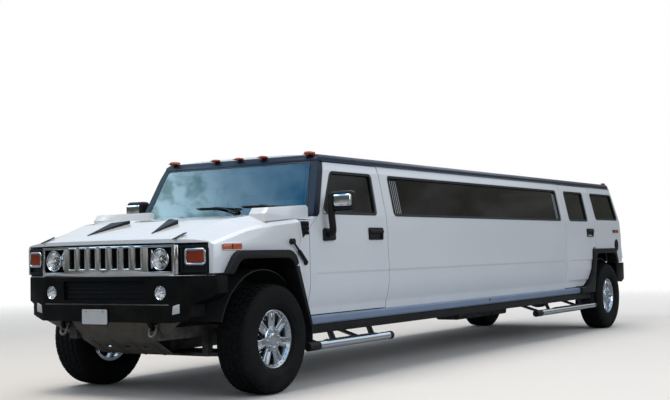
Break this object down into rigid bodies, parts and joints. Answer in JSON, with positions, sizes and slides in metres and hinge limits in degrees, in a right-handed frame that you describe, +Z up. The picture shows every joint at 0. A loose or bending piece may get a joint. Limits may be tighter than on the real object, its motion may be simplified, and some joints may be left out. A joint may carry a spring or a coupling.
{
  "type": "stretch limousine",
  "caption": "Long-bodied off-road wagon limousine with hinged doors, forward-tilting hood, lifting tailgate, steered front wheels and side step bars.",
  "frame": {"origin": "on the ground under the middle of the overall box", "axes": "+X forward, +Y to the vehicle's left, +Z up"},
  "size_m": [9.392, 2.536, 1.9939],
  "materials": {
    "paint_white": "gloss",
    "trim_black": "satin",
    "frame_black": "satin",
    "underbody": "matte",
    "trim_dark": "matte",
    "cast_metal": "matte",
    "glass_front": "clear tint",
    "glass_dark": "dark tint",
    "chrome": "polished",
    "lamp_clear": "clear",
    "lamp_amber": "gloss",
    "lamp_red": "gloss",
    "alloy": "satin",
    "steel": "brushed",
    "leather": "satin",
    "bar_gloss": "gloss",
    "tyre": "matte"
  },
  "bodies": {
    "body": {"frame_rails": "frame_black", "frame_members": "frame_black", "floor_pan": "underbody", "bulkheads": "trim_dark", "engine_block": "cast_metal", "rockers": "paint_white", "cowl_sides": "paint_white", "stretch_panels": "paint_white", "rear_quarters": "paint_white", "roof_panel": "paint_white", "roof_rails": "trim_black", "windshield_frame": "trim_black", "fixed_glass": "glass_dark", "nose_panel": "trim_black", "grille_shell": "chrome", "clear_lamps": "lamp_clear", "amber_lamps": "lamp_amber", "tail_lamps": "lamp_red", "front_bumper": "trim_black", "skid_plate": "alloy", "arch_mouldings": "trim_black", "wheel_liners": "trim_black", "sill_covers": "trim_black", "side_steps": "chrome", "rear_bumper": "trim_black", "rear_axle": "cast_metal", "propshaft": "frame_black", "suspension": "frame_black", "exhaust": "steel", "fuel_tank": "frame_black", "dashboard": "trim_dark", "seats": "leather", "bar_cabinet": "bar_gloss"},
    "hood": {"hood_panel": "paint_white", "hood_trim": "trim_black", "hood_markers": "lamp_amber"},
    "tailgate": {"tailgate": "paint_white", "tailgate_glass": "glass_dark"},
    "door_front_left": {"door_front_left": "paint_white", "door_front_left_glass": "glass_dark", "door_front_left_fittings": "trim_black"},
    "door_front_right": {"door_front_right": "paint_white", "door_front_right_glass": "glass_dark", "door_front_right_fittings": "trim_black"},
    "door_rear_left": {"door_rear_left": "paint_white", "door_rear_left_glass": "glass_dark", "door_rear_left_fittings": "trim_black"},
    "door_rear_right": {"door_rear_right": "paint_white", "door_rear_right_glass": "glass_dark", "door_rear_right_fittings": "trim_black"},
    "steer_left": {"knuckle_left": "cast_metal"},
    "steer_right": {"knuckle_right": "cast_metal"},
    "wheel_front_left": {"tyre_front_left": "tyre", "rim_front_left": "chrome"},
    "wheel_front_right": {"tyre_front_right": "tyre", "rim_front_right": "chrome"},
    "wheel_rear_left": {"tyre_rear_left": "tyre", "rim_rear_left": "chrome"},
    "wheel_rear_right": {"tyre_rear_right": "tyre", "rim_rear_right": "chrome"}
  },
  "joints": [
    {"name": "steering_left", "type": "hinge", "parent": "body", "child": "steer_left", "pos_m": [3.821, 0.84, 0.436], "axis": [0, 0, 1], "range_deg": [-27, 27]},
    {"name": "steering_right", "type": "hinge", "parent": "body", "child": "steer_right", "pos_m": [3.821, -0.84, 0.436], "axis": [0, 0, 1], "range_deg": [-27, 27]},
    {"name": "spin_front_left", "type": "hinge", "parent": "steer_left", "child": "wheel_front_left", "pos_m": [3.821, 0.8815, 0.436], "axis": [0, 1, 0], "continuous": true},
    {"name": "spin_front_right", "type": "hinge", "parent": "steer_right", "child": "wheel_front_right", "pos_m": [3.821, -0.8815, 0.436], "axis": [0, 1, 0], "continuous": true},
    {"name": "spin_rear_left", "type": "hinge", "parent": "body", "child": "wheel_rear_left", "pos_m": [-3.869, 0.8815, 0.436], "axis": [0, 1, 0], "continuous": true},
    {"name": "spin_rear_right", "type": "hinge", "parent": "body", "child": "wheel_rear_right", "pos_m": [-3.869, -0.8815, 0.436], "axis": [0, 1, 0], "continuous": true},
    {"name": "front_door_left", "type": "hinge", "parent": "body", "child": "door_front_left", "pos_m": [3.277, 0.988, 1.1], "axis": [0, 0, -1], "range_deg": [0, 65]},
    {"name": "front_door_right", "type": "hinge", "parent": "body", "child": "door_front_right", "pos_m": [3.277, -0.988, 1.1], "axis": [0, 0, 1], "range_deg": [0, 65]},
    {"name": "rear_door_left", "type": "hinge", "parent": "body", "child": "door_rear_left", "pos_m": [-2.475, 0.988, 1.1], "axis": [0, 0, -1], "range_deg": [0, 65]},
    {"name": "rear_door_right", "type": "hinge", "parent": "body", "child": "door_rear_right", "pos_m": [-2.475, -0.988, 1.1], "axis": [0, 0, 1], "range_deg": [0, 65]},
    {"name": "hood_tilt", "type": "hinge", "parent": "body", "child": "hood", "pos_m": [4.676, 0, 1.2], "axis": [0, 1, 0], "range_deg": [0, 55]},
    {"name": "tailgate_lift", "type": "hinge", "parent": "body", "child": "tailgate", "pos_m": [-4.41, 0, 1.887], "axis": [0, 1, 0], "range_deg": [0, 80]}
  ],
  "couplings": [
    {"joint": "steering_right", "follows": "steering_left", "ratio": 1}
  ]
}
